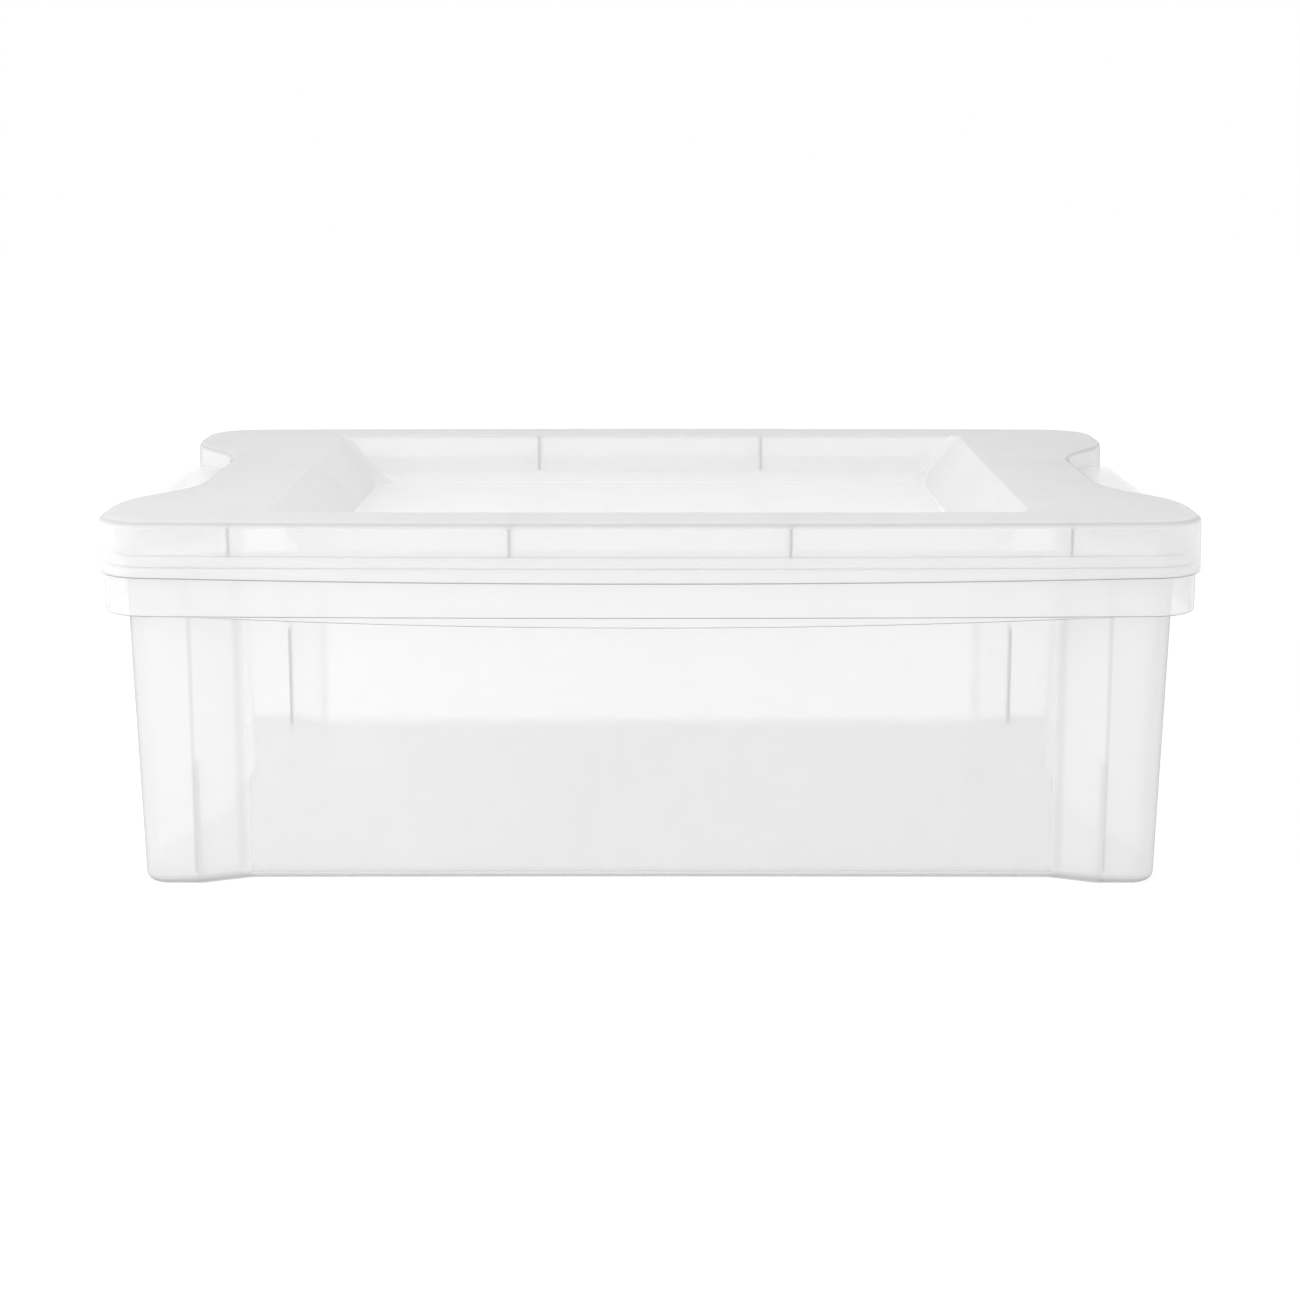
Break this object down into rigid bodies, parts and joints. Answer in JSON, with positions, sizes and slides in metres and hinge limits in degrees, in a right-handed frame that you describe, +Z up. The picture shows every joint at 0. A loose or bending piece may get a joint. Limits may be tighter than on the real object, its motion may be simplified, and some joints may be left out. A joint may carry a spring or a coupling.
{
  "type": "storage box with lift-off lid",
  "caption": "Shallow translucent plastic storage tub with drawn-in short sides, hollow grip handles, a stepped rim and a lift-off lid with a sunken centre panel.",
  "frame": {"origin": "middle of the underside, on the face the box stands on", "axes": "+X along the long side to the right seen from the front, +Y from the front to the back, +Z up"},
  "size_m": [0.56, 0.403, 0.191],
  "materials": {
    "tub_plastic": "natural translucent polypropylene, moulded, smooth with a slight milkiness",
    "lid_plastic": "natural translucent polypropylene, moulded, satin and a little milkier than the tub"
  },
  "bodies": {
    "tub": {"tub": "tub_plastic"},
    "lid": {"lid": "lid_plastic"}
  },
  "joints": [
    {"name": "lid_lift", "type": "slide", "parent": "tub", "child": "lid", "axis": [0, 0, 1], "range_m": [0, 0.25]}
  ]
}
